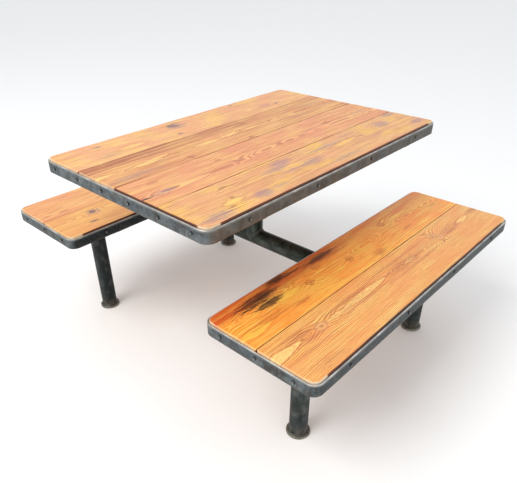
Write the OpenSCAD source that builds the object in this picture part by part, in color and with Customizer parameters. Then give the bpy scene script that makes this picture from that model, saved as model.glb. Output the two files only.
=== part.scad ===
// Picnic table: a galvanised steel frame with a centre post, and timber boards held in steel rims.
// X runs across the table and both benches, Y along the boards, Z up from the ground.
// Right is +X, left is -X, front is -Y and rear is +Y.

/* [Table top] */
// Length of the table top, over its rim
table_l = 1164; // [900:2:1800]
// Width of the table top, over its rim
table_w = 751; // [620:1:1000]
// Height of the table rim's upper edge
table_h = 750; // [620:5:950]
// Number of boards in the table top
table_boards = 4; // [4]

/* [Benches] */
// Length of a bench, over its rim
bench_l = 1156; // [900:2:1800]
// Width of a bench, over its rim
bench_w = 381; // [310:1:500]
// Height of a bench rim's upper edge
seat_h = 466; // [380:1:580]
// Distance from the middle of the table to the middle of a bench
bench_x = 523; // [430:1:700]

/* [Boards] */
// Thickness of a board
board_t = 38; // [32:1:50]
// Open seam between two boards
seam = 1; // [0.5:0.5:4]
// Clearance between the boards and the rim
board_fit = 1; // [0.5:0.5:3]

/* [Rims] */
// Height of the flat bar that makes a rim
rim_h = 38; // [30:1:50]
// Thickness of the flat bar that makes a rim
rim_t = 5; // [4:0.5:8]
// Outer radius of a rim's corner
rim_r = 30; // [20:1:50]

/* [Tubes] */
// Outer diameter of the frame's tube
tube_d = 60.3; // [48:0.1:76]
// Wall of the frame's tube
tube_wall = 3.2; // [2:0.1:5]
// Distance from a bench's end to the middle of its legs
leg_setback = 208; // [150:1:300]
// Space between a bench frame's underside and the rail below it
rail_drop = 20; // [5:0.5:60]
// Gap left for the weld where one tube is cut to fit another
weld_gap = 0.3; // [0.1:0.1:1]

/* [Feet] */
// How far a foot plate stands out round its leg
foot_lip = 9; // [5:1:40]
// Thickness of a foot plate
foot_t = 8; // [5:1:15]
// Diameter of the vent hole at the bottom of each leg
vent_d = 8; // [5:0.5:14]
// Height of the vent hole's middle above the foot plate
vent_rise = 7; // [6:0.5:20]

/* [Bearers] */
// Thickness of the flat bars under the boards
bearer_t = 6; // [4:0.5:8]
// Width of a flat bar under the boards
bearer_w = 50; // [40:1:80]
// How much wider than the tube a bar above a leg is
leg_bearer_extra = 20; // [10:1:40]
// Distance from the table's end to the middle of its end bearers
bearer_setback = 200; // [120:5:350]
// Leg width of the angle bars under the table
angle_w = 50; // [40:1:60]
// Thickness of the angle bars under the table
angle_t = 5; // [4:0.5:8]

/* [Post head] */
// Thickness of the plate on top of the post
head_plate_t = 8; // [6:1:15]
// Clearance between the plate and the angle bars beside it
head_plate_fit = 3; // [1:1:10]
// Diameter of the studs that hold the table top on the post
stud_d = 12; // [8:1:16]
// Distance from the post's middle to the studs, along the boards
stud_y = 75; // [60:1:120]
// Clearance round a stud in the head plate
stud_fit = 0.5; // [0.2:0.1:1]
// Thickness of a nut
nut_t = 10; // [6:0.5:14]
// Width of a nut over its flats
nut_w = 19; // [17:1:30]
// Outer diameter of a washer
washer_d = 24; // [20:1:40]
// Thickness of a washer
washer_t = 2.5; // [1.5:0.5:4]
// Length of stud that shows below its nut
stud_tail = 5; // [2:1:15]

/* [Screws] */
// Diameter of the domed screw heads on the rims
dome_d = 11; // [8:0.5:16]
// Height of the domed screw heads on the rims
dome_h = 4; // [2:0.5:6]
// Diameter of a screw's shank
shank_d = 5; // [4:0.5:7]
// Length of a rim screw's shank
rim_screw_l = 45; // [30:1:60]
// Clearance round a shank in its hole
shank_fit = 0.15; // [0.05:0.05:0.5]
// Height of the pan heads under the boards
pan_h = 3.5; // [2:0.5:5]
// Wood left above the tip of a screw in a board
tip_cover = 10; // [6:1:15]
// Screws in each end of the table rim
table_end_screws = 6; // [2:1:8]
// Screws in each long side of the table rim
table_side_screws = 4; // [2:1:8]
// Screws in each end of a bench rim
bench_end_screws = 3; // [2:1:5]
// Screws in each long side of a bench rim
bench_side_screws = 4; // [2:1:8]
// Distance from a table corner to the first end screw
table_end_edge = 56; // [45:1:100]
// Distance from a table corner to the first side screw
table_side_edge = 150; // [80:1:250]
// Distance from a bench corner to the first end screw
bench_end_edge = 66; // [45:1:100]
// Distance from a bench corner to the first side screw
bench_side_edge = 143; // [80:1:250]
// Distance from a board's edge to the screws from below
board_edge = 45; // [30:1:60]
// Space between a leg and the screw heads beside it
leg_screw_gap = 8; // [4:1:15]

/* [Colours] */
// Colour of the galvanised steel
steel = "slategray"; // [slategray, lightslategray, silver]
// Colour of the zinc-plated screws, studs and nuts
zinc = "silver"; // [silver, lightgray, darkgray]
// Colour of the oiled boards
timber = "sandybrown"; // [sandybrown, burlywood, peru]

/* [Hidden] */
$fn = 64;
cut = 1;                                          // how far a cutting shape runs past a face
bench_boards = 2;
tube_r = tube_d / 2;
bore_r = tube_r - tube_wall;
saddle_r = tube_r + weld_gap;                     // radius of a cut that fits another tube
leg_x = bench_x;
leg_y = bench_l / 2 - leg_setback;
table_base = table_h - rim_h;                     // underside of the table's rim
bench_base = seat_h - rim_h;                      // underside of a bench's rim
rail_z = bench_base - rail_drop - tube_r;         // middle of the rails and the cross beam
table_bearer_y = table_l / 2 - bearer_setback;
leg_bearer_w = tube_d + leg_bearer_extra;
angle_base = table_base - angle_t;                // underside of an angle bar's flat leg
head_base = angle_base - head_plate_t;            // underside of the post's head plate
table_board_w = board_width(table_w, table_boards);
bench_board_w = board_width(bench_w, bench_boards);
spine_x = (seam + table_board_w) / 2;             // middle of an angle bar's flat leg
head_plate_half = spine_x + angle_w / 2 - angle_t - head_plate_fit;
spine_l = 2 * table_bearer_y + bearer_w;
stud_l = table_base - head_base + washer_t + nut_t + stud_tail;
board_screw_l = bearer_t + board_t - tip_cover;
bench_screw_seam = tube_r + dome_d / 2 + leg_screw_gap;

// Width of one of n equal boards inside a rim of outer width w
function board_width(w, n) = (w - 2 * rim_t - 2 * board_fit - (n - 1) * seam) / n;
// Middle of board i of n, counted from 0 on the -X side
function board_x(w, n, i) = (i - (n - 1) / 2) * (board_width(w, n) + seam);
// n evenly spaced places along a side of length l, the first one edge from its end
function places(l, n, edge) = [for (i = [0:n - 1]) -l / 2 + edge + i * (l - 2 * edge) / (n - 1)];
// Places across the table of the screws that come up through a bearer
table_screw_x = [for (i = [0:table_boards - 1], s = [-1, 1])
    board_x(table_w, table_boards, i) + s * (table_board_w / 2 - board_edge)];
// Places across a bench of the screws that come up through a bearer
bench_screw_x = [for (s = [-1, 1], x = [bench_screw_seam, seam / 2 + bench_board_w - board_edge]) s * x];

// Upright block of width w, length l and height h, with round corners of radius r
module round_block(w, l, h, r) {
    linear_extrude(h) {
        square([w - 2 * r, l], center = true);
        square([w, l - 2 * r], center = true);
        for (x = [-1, 1], y = [-1, 1])
            translate([x * (w / 2 - r), y * (l / 2 - r)]) circle(r);
    }
}

// Puts its child, drawn along +Z, at each screw's place on a rim, pointing inwards
module at_rim_screws(w, l, ends, end_edge, sides, side_edge) {
    for (x = places(w, ends, end_edge), s = [-1, 1])
        translate([x, s * l / 2, rim_h / 2]) rotate([s * 90, 0, 0]) children();
    for (y = places(l, sides, side_edge), s = [-1, 1])
        translate([s * w / 2, y, rim_h / 2]) rotate([0, -s * 90, 0]) children();
}

module at_table_screws() {
    translate([0, 0, table_base])
        at_rim_screws(table_w, table_l, table_end_screws, table_end_edge,
            table_side_screws, table_side_edge) children();
}

module at_bench_screws(side) {
    translate([side * bench_x, 0, bench_base])
        at_rim_screws(bench_w, bench_l, bench_end_screws, bench_end_edge,
            bench_side_screws, bench_side_edge) children();
}

// Hole for a rim screw's shank, with its mouth at the rim's outer face
module shank_hole() {
    translate([0, 0, -cut]) cylinder(r = shank_d / 2 + shank_fit, h = rim_screw_l + cut);
}

// Domed screw: the head stands out of the rim and the shank runs in along +Z
module dome_screw() {
    ball = (dome_d * dome_d / 4 + dome_h * dome_h) / (2 * dome_h);
    intersection() {
        translate([0, 0, ball - dome_h]) sphere(ball);
        translate([0, 0, -dome_h]) cylinder(d = dome_d, h = dome_h);
    }
    cylinder(d = shank_d, h = rim_screw_l - cut);
}

// Screws that come up through the bearers, their heads against the bearers' undersides
module board_screws(xs, ys) {
    color(zinc) for (x = xs, y = ys) translate([x, y, 0]) {
        translate([0, 0, -pan_h]) cylinder(d = dome_d, h = pan_h);
        cylinder(d = shank_d, h = board_screw_l);
    }
}

module board_screw_holes(xs, ys) {
    for (x = xs, y = ys) translate([x, y, -cut])
        cylinder(r = shank_d / 2 + shank_fit, h = board_screw_l + 2 * cut);
}

// Flat bar bent round a set of boards, with its corners rounded
module rim(w, l) {
    color(steel) difference() {
        round_block(w, l, rim_h, rim_r);
        translate([0, 0, -cut]) round_block(w - 2 * rim_t, l - 2 * rim_t, rim_h + 2 * cut, rim_r - rim_t);
    }
}

// Board i of n, cut to the rim's rounded corners where it meets them
module board(w, l, n, i) {
    inset = rim_t + board_fit;
    intersection() {
        round_block(w - 2 * inset, l - 2 * inset, board_t, rim_r - inset);
        translate([board_x(w, n, i) - board_width(w, n) / 2, -l / 2, 0])
            cube([board_width(w, n), l, board_t]);
    }
}

// Flat bar across the underside of the boards, between the two long sides of a rim
module bearer(w, width) {
    translate([-w / 2 + rim_t, -width / 2, 0]) cube([w - 2 * rim_t, width, bearer_t]);
}

// Tube along +Z from the origin
module tube(l) {
    difference() {
        cylinder(r = tube_r, h = l);
        translate([0, 0, -cut]) cylinder(r = bore_r, h = l + 2 * cut);
    }
}

module table_rim() {
    color(steel) difference() {
        translate([0, 0, table_base]) rim(table_w, table_l);
        at_table_screws() shank_hole();
    }
}

module table_board(i) {
    color(timber) difference() {
        translate([0, 0, table_base + bearer_t]) board(table_w, table_l, table_boards, i);
        at_table_screws() shank_hole();
        translate([0, 0, table_base]) board_screw_holes(table_screw_x, [-table_bearer_y, 0, table_bearer_y]);
    }
}

module table_bearer(y) {
    color(steel) difference() {
        translate([0, y, table_base]) bearer(table_w, bearer_w);
        translate([0, 0, table_base]) board_screw_holes(table_screw_x, [y]);
    }
}

// Angle bar along the underside of the bearers, with its upright leg on the outer side
module table_spine(side) {
    color(steel) difference() {
        translate([side * spine_x, 0, 0]) {
            translate([-angle_w / 2, -spine_l / 2, angle_base]) cube([angle_w, spine_l, angle_t]);
            translate([side * (angle_w - angle_t) / 2 - angle_t / 2, -spine_l / 2, table_base - angle_w])
                cube([angle_t, spine_l, angle_w]);
        }
        at_studs() cylinder(r = stud_d / 2 + shank_fit, h = stud_l + cut);
    }
}

module table_rim_screws() {
    color(zinc) at_table_screws() dome_screw();
}

module table_board_screws() {
    translate([0, 0, table_base])
        board_screws(table_screw_x, [-table_bearer_y, 0, table_bearer_y]);
}

// Puts its child, drawn along +Z, at the lower end of each stud
module at_studs() {
    for (x = [-1, 1], y = [-1, 1])
        translate([x * spine_x, y * stud_y, table_base - stud_l]) children();
}

module post_head_plate() {
    color(steel) difference() {
        translate([-head_plate_half, -head_plate_half, head_base])
            cube([2 * head_plate_half, 2 * head_plate_half, head_plate_t]);
        at_studs() cylinder(r = stud_d / 2 + stud_fit, h = stud_l + cut);
    }
}

module head_studs() {
    color(zinc) at_studs() cylinder(d = stud_d, h = stud_l);
}

module head_washers() {
    color(zinc) at_studs() translate([0, 0, stud_tail + nut_t]) difference() {
        cylinder(d = washer_d, h = washer_t);
        translate([0, 0, -cut]) cylinder(r = stud_d / 2 + stud_fit, h = washer_t + 2 * cut);
    }
}

module head_nuts() {
    color(zinc) at_studs() translate([0, 0, stud_tail]) difference() {
        cylinder(d = nut_w / cos(30), h = nut_t, $fn = 6);
        translate([0, 0, -cut]) cylinder(r = stud_d / 2 + shank_fit, h = nut_t + 2 * cut);
    }
}

// Tube across the middle, cut to fit the two rails
module cross_beam() {
    color(steel) difference() {
        translate([-leg_x, 0, rail_z]) rotate([0, 90, 0]) tube(2 * leg_x);
        for (side = [-1, 1]) translate([side * leg_x, -bench_l / 2, rail_z])
            rotate([-90, 0, 0]) cylinder(r = saddle_r, h = bench_l);
    }
}

// Tube from the cross beam up to the head plate, its foot cut to fit the beam
module centre_post() {
    color(steel) difference() {
        translate([0, 0, rail_z]) tube(head_base - rail_z);
        translate([-leg_x, 0, rail_z]) rotate([0, 90, 0]) cylinder(r = saddle_r, h = 2 * leg_x);
    }
}

// Tube between the two legs of a bench, its ends cut to fit them
module rail(side) {
    color(steel) difference() {
        translate([side * leg_x, -leg_y, rail_z]) rotate([-90, 0, 0]) tube(2 * leg_y);
        for (end = [-1, 1]) translate([side * leg_x, end * leg_y, 0]) cylinder(r = saddle_r, h = seat_h);
    }
}

// Leg, with a vent hole low on the side that faces the bench's end
module leg(side, end) {
    color(steel) mirror([0, (end + 1) / 2, 0]) translate([side * leg_x, -leg_y, foot_t]) difference() {
        tube(bench_base - foot_t);
        translate([0, 0, vent_rise]) rotate([90, 0, 0]) cylinder(d = vent_d, h = tube_d);
    }
}

module foot(side, end) {
    color(steel) translate([side * leg_x, end * leg_y, 0]) cylinder(r = tube_r + foot_lip, h = foot_t);
}

module bench_rim(side) {
    color(steel) difference() {
        translate([side * bench_x, 0, bench_base]) rim(bench_w, bench_l);
        at_bench_screws(side) shank_hole();
    }
}

module bench_board(side, i) {
    color(timber) difference() {
        translate([side * bench_x, 0, bench_base + bearer_t]) board(bench_w, bench_l, bench_boards, i);
        at_bench_screws(side) shank_hole();
        translate([side * bench_x, 0, bench_base]) board_screw_holes(bench_screw_x, [-leg_y, 0, leg_y]);
    }
}

// Bar under a bench's boards: end is -1 or 1 above a leg, and 0 in the middle
module bench_bearer(side, end) {
    color(steel) translate([side * bench_x, 0, bench_base]) difference() {
        translate([0, end * leg_y, 0]) bearer(bench_w, end == 0 ? bearer_w : leg_bearer_w);
        board_screw_holes(bench_screw_x, [end * leg_y]);
    }
}

module bench_rim_screws(side) {
    color(zinc) at_bench_screws(side) dome_screw();
}

module bench_board_screws(side) {
    translate([side * bench_x, 0, bench_base]) board_screws(bench_screw_x, [-leg_y, 0, leg_y]);
}

table_rim();
table_board(0);  // table_board_1
table_board(1);  // table_board_2
table_board(2);  // table_board_3
table_board(3);  // table_board_4
table_bearer(-table_bearer_y);  // table_bearer_front
table_bearer(0);  // table_bearer_middle
table_bearer(table_bearer_y);  // table_bearer_rear
table_spine(-1);  // table_spine_left
table_spine(1);  // table_spine_right
table_rim_screws();
table_board_screws();
post_head_plate();
head_studs();
head_washers();
head_nuts();
centre_post();
cross_beam();
rail(-1);  // rail_left
rail(1);  // rail_right
leg(-1, -1);  // leg_left_front
leg(-1, 1);  // leg_left_rear
leg(1, -1);  // leg_right_front
leg(1, 1);  // leg_right_rear
foot(-1, -1);  // foot_left_front
foot(-1, 1);  // foot_left_rear
foot(1, -1);  // foot_right_front
foot(1, 1);  // foot_right_rear
bench_rim(-1);  // bench_rim_left
bench_rim(1);  // bench_rim_right
bench_board(-1, 0);  // bench_board_left_outer
bench_board(-1, 1);  // bench_board_left_inner
bench_board(1, 0);  // bench_board_right_inner
bench_board(1, 1);  // bench_board_right_outer
bench_bearer(-1, -1);  // bench_bearer_left_front
bench_bearer(-1, 0);  // bench_bearer_left_middle
bench_bearer(-1, 1);  // bench_bearer_left_rear
bench_bearer(1, -1);  // bench_bearer_right_front
bench_bearer(1, 0);  // bench_bearer_right_middle
bench_bearer(1, 1);  // bench_bearer_right_rear
bench_rim_screws(-1);  // bench_rim_screws_left
bench_rim_screws(1);  // bench_rim_screws_right
bench_board_screws(-1);  // bench_board_screws_left
bench_board_screws(1);  // bench_board_screws_right
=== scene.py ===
import math
from functools import partial
import bmesh
import bpy
import numpy as np
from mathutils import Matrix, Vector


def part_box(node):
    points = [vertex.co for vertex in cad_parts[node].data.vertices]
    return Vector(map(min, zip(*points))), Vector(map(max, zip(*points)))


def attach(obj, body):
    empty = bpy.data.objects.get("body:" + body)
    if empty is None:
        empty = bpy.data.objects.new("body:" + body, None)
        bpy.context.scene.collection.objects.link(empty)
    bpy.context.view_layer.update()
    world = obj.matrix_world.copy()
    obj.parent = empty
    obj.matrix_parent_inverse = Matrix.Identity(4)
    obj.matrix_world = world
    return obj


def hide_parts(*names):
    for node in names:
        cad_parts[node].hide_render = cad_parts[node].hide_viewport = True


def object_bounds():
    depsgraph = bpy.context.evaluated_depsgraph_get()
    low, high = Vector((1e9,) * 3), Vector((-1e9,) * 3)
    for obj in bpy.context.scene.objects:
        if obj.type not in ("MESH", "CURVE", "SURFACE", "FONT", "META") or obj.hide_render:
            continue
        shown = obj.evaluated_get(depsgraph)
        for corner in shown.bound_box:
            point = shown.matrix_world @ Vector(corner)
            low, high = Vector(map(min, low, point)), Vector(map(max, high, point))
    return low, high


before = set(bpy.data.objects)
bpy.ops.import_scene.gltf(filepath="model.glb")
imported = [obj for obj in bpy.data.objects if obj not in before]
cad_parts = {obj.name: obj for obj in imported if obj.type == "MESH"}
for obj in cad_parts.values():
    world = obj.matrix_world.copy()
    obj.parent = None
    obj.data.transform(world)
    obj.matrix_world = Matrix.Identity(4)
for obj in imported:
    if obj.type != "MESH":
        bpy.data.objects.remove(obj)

# Picnic table: softwood boards in galvanised steel rims, on a welded tube frame.
# X runs across the table and benches, Y along the boards, Z up. Everything is in metres.
mm = 0.001
turn = 2 * math.pi
mergeGap = 0.002 * mm  # points nearer than this are one
cadLow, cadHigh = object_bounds()
middle = (cadLow + cadHigh) / 2
print("frame loaded with", len(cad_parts), "nodes")


def toLinear(hexColour):
    # sRGB hex to linear red, green, blue, alpha
    srgb = np.array([int(hexColour[i:i + 2], 16) for i in (1, 3, 5)]) / 255
    linear = np.where(srgb <= 0.04045, srgb / 12.92, ((srgb + 0.055) / 1.055) ** 2.4)
    return (*linear.tolist(), 1.0)


def drift(position, seed, longest, steps=5, shorter=0.57, weaker=0.62):
    # slow wandering between -1 and 1: cosines that get shorter and weaker, with random phases, summed
    random = np.random.default_rng(seed)
    strengths = weaker ** np.arange(steps)
    total = np.zeros(np.shape(position))
    for step in range(steps):
        length = longest * shorter ** step
        total += strengths[step] * np.cos(turn * position / length + random.uniform(0, turn))
    return total / strengths.sum()


def mottle(u, v, seed, sizeU, sizeV, waves=14, stretches=(0.6, 1.8)):
    # cloudy patches between about -1 and 1: cosine waves in random directions, summed
    random = np.random.default_rng(seed)
    total = np.zeros(np.broadcast(u, v).shape)
    for _ in range(waves):
        angle = random.uniform(0, turn)
        stretch = random.uniform(*stretches)
        across, along = math.cos(angle) * stretch / sizeU, math.sin(angle) * stretch / sizeV
        total += np.cos(turn * (u * across + v * along) + random.uniform(0, turn))
    return total * math.sqrt(2 / waves) / 2


def smoothStep(low, high, value):
    # 0 up to low, 1 from high, and between them three t squared less two t cubed
    t = np.clip((value - low) / (high - low), 0, 1)
    return t * t * (3 - 2 * t)


def gridQuads(rows, columns, closeRows=False, closeColumns=False):
    # quads between neighbours of a grid numbered row by row; a closed direction joins its last line to its
    # first
    r = np.arange(rows if closeRows else rows - 1)[:, None]
    c = np.arange(columns if closeColumns else columns - 1)[None, :]
    rNext, cNext = (r + 1) % rows, (c + 1) % columns
    corners = [r * columns + c, r * columns + cNext, rNext * columns + cNext, rNext * columns + c]
    return np.stack(np.broadcast_arrays(*corners), -1).reshape(-1, 4)


def copies(points, quads, count):
    # count shapes of the same grid, (count, points, 3), as one run of points and quads
    offsets = np.arange(count)[:, None, None] * points.shape[1]
    return points.reshape(-1, 3), (quads[None] + offsets).reshape(-1, 4)


def makePiece(name, points, faces, material, standsFor=(), fields=None, sharpAngle=35):
    # a mesh piece of the table: seams merged, faces outwards, sharp where it bends more than sharpAngle
    mesh = bpy.data.meshes.new(name)
    mesh.from_pydata(np.reshape(points, (-1, 3)).tolist(), [], [list(face) for face in faces])
    for field, values in (fields or {}).items():
        attribute = mesh.attributes.new(field, "FLOAT", "POINT")
        attribute.data.foreach_set("value", np.asarray(values, np.float32).ravel())
    shell = bmesh.new()
    shell.from_mesh(mesh)
    bmesh.ops.remove_doubles(shell, verts=shell.verts, dist=mergeGap)
    bmesh.ops.dissolve_degenerate(shell, edges=shell.edges, dist=mergeGap / 2)
    bmesh.ops.recalc_face_normals(shell, faces=shell.faces)
    shell.to_mesh(mesh)
    shell.free()
    mesh.polygons.foreach_set("use_smooth", [True] * len(mesh.polygons))
    mesh.set_sharp_from_angle(angle=math.radians(sharpAngle))
    mesh.materials.append(material)
    piece = bpy.data.objects.new(name, mesh)
    bpy.context.scene.collection.objects.link(piece)
    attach(piece, "root")
    if standsFor:
        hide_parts(*standsFor)
    return piece


def nodeCorners(node):
    # the lowest and the highest corner of a CAD node's box
    low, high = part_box(node)
    return np.array(low), np.array(high)


# for each kind of node: its inputs in the order they are given, its output, and its usual settings
nodeKinds = {
    "Attribute": ((), "Fac", {}),
    "TexCoord": ((), "Object", {}),
    "Mapping": (("Vector", "Scale"), 0, {}),
    "TexNoise": (("Vector", "Scale", "Detail", "Roughness"), "Fac", {}),
    "TexVoronoi": (("Vector", "Scale"), "Color", {}),
    "SeparateColor": ((0,), 0, {}),
    "ValToRGB": ((0,), "Color", {}),
    "Math": ((0, 1), 0, {"operation": "MULTIPLY"}),
    "Mix": ((0, 6, 7), 2, {"data_type": "RGBA"}),
    "Bump": (("Height", "Strength", "Distance"), 0, {}),
}


def addNode(tree, kind, *values, stops=(), **settings):
    # one shader node: each value is a socket to link, a hex colour or a number for its input, and a colour
    # ramp's stops are (position, grey level). It gives the node's output
    inputs, output, usual = nodeKinds[kind]
    node = tree.nodes.new("ShaderNode" + kind)
    for name, setting in {**usual, **settings}.items():
        setattr(node, name, setting)
    for key, value in zip(inputs, values):
        if isinstance(value, bpy.types.NodeSocket):
            tree.links.new(value, node.inputs[key])
        else:
            node.inputs[key].default_value = toLinear(value) if isinstance(value, str) else value
    if stops:
        elements = node.color_ramp.elements
        while len(elements) < len(stops):
            elements.new(1.0)
        for element, (position, level) in zip(elements, stops):
            element.position = position
            element.color = (level, level, level, 1)
    return node.outputs[output]


def startMaterial(name, **uniform):
    # a material whose Principled shader has these values the same all over
    material = bpy.data.materials.new(name)
    material.use_nodes = True
    tree = material.node_tree
    shader = tree.nodes["Principled BSDF"]
    for key, value in uniform.items():
        shader.inputs[key].default_value = value
    return material, tree, shader


def patternPlace(tree, sizes):
    # object coordinates in which one unit is sizes, in millimetres along X, Y and Z
    return addNode(tree, "Mapping", addNode(tree, "TexCoord"), [1 / (size * mm) for size in sizes])


def addPatterns(tree, patterns):
    # noise for each pattern, by name
    return {name: addNode(tree, "TexNoise", patternPlace(tree, sizes), 1.0, detail, roughness)
            for name, (sizes, detail, roughness) in patterns.items()}


# the timber's patterns: millimetres across, along and up, then how detailed and how rough
timberPatterns = {
    "fibre": ((2.2, 90, 2.2), 4.0, 0.65),     # a millimetre or two wide and a hand's width long
    "streak": ((11, 240, 11), 3.0, 0.6),
    "cloud": ((50, 130, 50), 2.0, 0.5),
    "crack": ((1.7, 30, 1.7), 2.0, 0.5),      # drawn about twice as wide as they are so that they show
}


def timberMaterial(name, look):
    # Douglas fir, planed and oiled: pale earlywood and thin dark latewood lines, which stand slightly proud
    # where the surface has worn, with a soft satin sheen
    oil = {"IOR": 1.5, "Coat Weight": look["coat"], "Coat Roughness": 0.3}
    material, tree, shader = startMaterial(name, **oil)
    add = partial(addNode, tree)
    pattern = addPatterns(tree, timberPatterns)
    fibre, streak, cloud = pattern["fibre"], pattern["streak"], pattern["cloud"]
    mark = {kind: add("Attribute", attribute_name=kind)
            for kind in ("rings", "knot", "stain", "char", "pale", "edge", "sanded", "strip")}
    wobble = add("Math", add("Math", fibre, 0.5, operation="SUBTRACT"), look["wobble"])
    phase = add("Math", add("Math", mark["rings"], wobble, operation="ADD"), operation="FRACT")
    start, contrast = look["lateStart"], look["contrast"]
    lines = [(0, 0.3), (0.1, 0.0), (start, 0.12), (start + 0.25, 0.8), (0.95, 1.0), (1.0, 0.3)]
    latewood = add("ValToRGB", phase, stops=lines)
    # the ground colour: streaks, clouds and pale flames
    colour = look["early"]
    for source, stops, over in (
            (streak, [(0.45, 0.0), (0.62, 0.85)], "streak"), (streak, [(0.34, 0.8), (0.44, 0.0)], "bright"),
            (cloud, [(0.46, 0.0), (0.62, look["cloudiness"])], "cloud"),
            (cloud, [(0.32, look["goldness"]), (0.47, 0.0)], "bright"),
            (mark["pale"], [(0.44, 0.0), (0.58, 0.7)], "bright")):
        colour = add("Mix", add("ValToRGB", source, stops=stops), colour, look[over])
    # then the grain on it, faint inside a flame, and a darker line round each flame
    quiet = add("ValToRGB", mark["pale"], stops=[(0.45, contrast), (0.6, 0.4 * contrast)])
    colour = add("Mix", add("Math", latewood, quiet), colour, look["late"])
    blotch = add("ValToRGB", fibre, stops=[(0.3, 0.3), (0.58, 1.0)])
    line = look["flameLine"]
    outline = add("ValToRGB", mark["pale"], stops=[(0.34, 0.0), (0.44, line), (0.48, line), (0.54, 0)])
    colour = add("Mix", add("Math", outline, blotch), colour, look["late"])
    broken = add("ValToRGB", streak, stops=[(0.36, 0.25), (0.6, 0.95)])
    colour = add("Mix", add("Math", mark["strip"], broken), colour, look["strip"], blend_type="MULTIPLY")
    # the grain still shows through a stain
    through = add("Math", blotch, add("ValToRGB", latewood, stops=[(0.05, 0.68), (0.8, 1.0)]))
    patch = add("ValToRGB", mark["stain"], stops=[(0.3, 0.0), (0.66, 0.85)])
    colour = add("Mix", add("Math", patch, through), colour, look["stain"])
    # a knot has a broken dark ring round a reddish heart
    colour = add("Mix", add("ValToRGB", mark["knot"], stops=[(0.3, 0.0), (0.5, 0.6)]), colour, look["heart"])
    rings = [(0.34, 0.0), (0.47, 0.7), (0.58, 0.25), (0.7, 0.15), (0.95, 0.95)]
    colour = add("Mix", add("Math", add("ValToRGB", mark["knot"], stops=rings), blotch), colour, look["knot"])
    # and through a burn, though less
    burnt = add("ValToRGB", mark["char"], stops=[(0.3, 0.0), (0.6, 1.0)])
    scorch = add("Math", add("ValToRGB", latewood, stops=[(0.05, 0.88), (0.6, 1.0)]),
                 add("ValToRGB", fibre, stops=[(0.32, 0.3), (0.52, 1.0)]))
    colour = add("Mix", add("Math", burnt, scorch), colour, look["char"])
    # short drying cracks, darker fibres, the sanded edges, and the dark edges, which are part dark stain and
    # part painted shade
    cracked = add("ValToRGB", pattern["crack"], stops=[(0.66, 0.0), (0.74, 0.55)])
    colour = add("Mix", cracked, colour, look["crack"])
    darker = add("Math", add("ValToRGB", fibre, stops=[(0.3, 0.0), (0.75, 1.0)]), look["fibreDepth"])
    colour = add("Mix", darker, colour, look["fibre"], blend_type="MULTIPLY")
    bare = add("Math", mark["sanded"], add("ValToRGB", streak, stops=[(0.4, 0.55), (0.55, 1.0)]))
    colour = add("Mix", bare, colour, add("Mix", fibre, *look["sanded"]))
    colour = add("Mix", mark["edge"], colour, add("Mix", cloud, *look["edge"]))
    tree.links.new(colour, shader.inputs["Base Color"])
    # latewood is glossier than the fibres round it, and stands a little higher
    sheen = add("Math", add("Math", latewood, -0.08), add("Math", fibre, 0.25), operation="ADD")
    tree.links.new(add("Math", sheen, look["roughness"], operation="ADD"), shader.inputs["Roughness"])
    height = add("Math", add("Math", latewood, 0.5), fibre, operation="ADD")
    tree.links.new(add("Bump", height, 0.35, 0.25 * mm), shader.inputs["Normal"])
    return material


# the zinc's patterns, in the same order
zincPatterns = {
    "chalk": ((38, 38, 30), 6.0, 0.62),
    "grime": ((22, 22, 85), 4.0, 0.6),
    "speck": ((3.5, 3.5, 3.5), 2.0, 0.5),
}


def galvanisedMaterial(name, look):
    # hot-dip galvanised steel, weathered outdoors: dull blue-grey zinc with faint spangle, chalky patches,
    # brownish grime, a near-black painted shade where it is asked for, and brighter metal where an edge is
    # rubbed, which on the rims' top edges is also a painted highlight
    material, tree, shader = startMaterial(name, Metallic=look["metallic"])
    add = partial(addNode, tree)
    pattern = addPatterns(tree, zincPatterns)
    chalk, speck = pattern["chalk"], pattern["speck"]
    wear, dirt, paintedShade = (add("Attribute", attribute_name=kind) for kind in ("wear", "dirt", "paintedShade"))
    facet = add("SeparateColor", add("TexVoronoi", patternPlace(tree, [look["spangle"]] * 3), 1.0))
    colour = add("Mix", facet, look["dark"], look["light"])
    chalky = add("ValToRGB", chalk, stops=[(0.46, 0.0), (0.64, look["chalkiness"])])
    colour = add("Mix", chalky, colour, look["chalk"])
    grimy = add("ValToRGB", pattern["grime"], stops=[(0.5, 0.0), (0.66, look["griminess"])])
    colour = add("Mix", grimy, colour, look["grime"])
    colour = add("Mix", add("ValToRGB", speck, stops=[(0.66, 0.0), (0.74, 0.5)]), colour, look["speck"])
    # painted shade: a near-black colour laid on faces that the table shades
    colour = add("Mix", paintedShade, colour, look["paintedShade"])
    colour = add("Mix", add("ValToRGB", speck, stops=[(0.3, 0.5), (0.42, 0.0)]), colour, look["chalk"])
    dirty = add("Math", dirt, add("ValToRGB", chalk, stops=[(0.3, 0.55), (0.6, 1.0)]))
    colour = add("Mix", dirty, colour, look["dirt"])
    # rubbed zinc, which on the rims' top edges is also a painted highlight
    rubbedAndHighlight = add("Math", wear, add("ValToRGB", chalk, stops=[(0.38, 1.0), (0.58, 0.5)]))
    colour = add("Mix", rubbedAndHighlight, colour, look["rubbedAndHighlight"])
    tree.links.new(colour, shader.inputs["Base Color"])
    # chalk is duller, and a rubbed edge glossier
    dull = add("Math", add("Math", chalk, 0.35), look["roughness"], operation="ADD")
    dull = add("Math", dull, add("Math", wear, 0.12), operation="SUBTRACT")
    tree.links.new(add("Math", dull, add("Math", facet, 0.06), operation="ADD"), shader.inputs["Roughness"])
    height = add("Math", chalk, add("Math", speck, 0.5), operation="ADD")
    tree.links.new(add("Bump", height, 0.4, 0.5 * mm), shader.inputs["Normal"])
    return material


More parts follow.
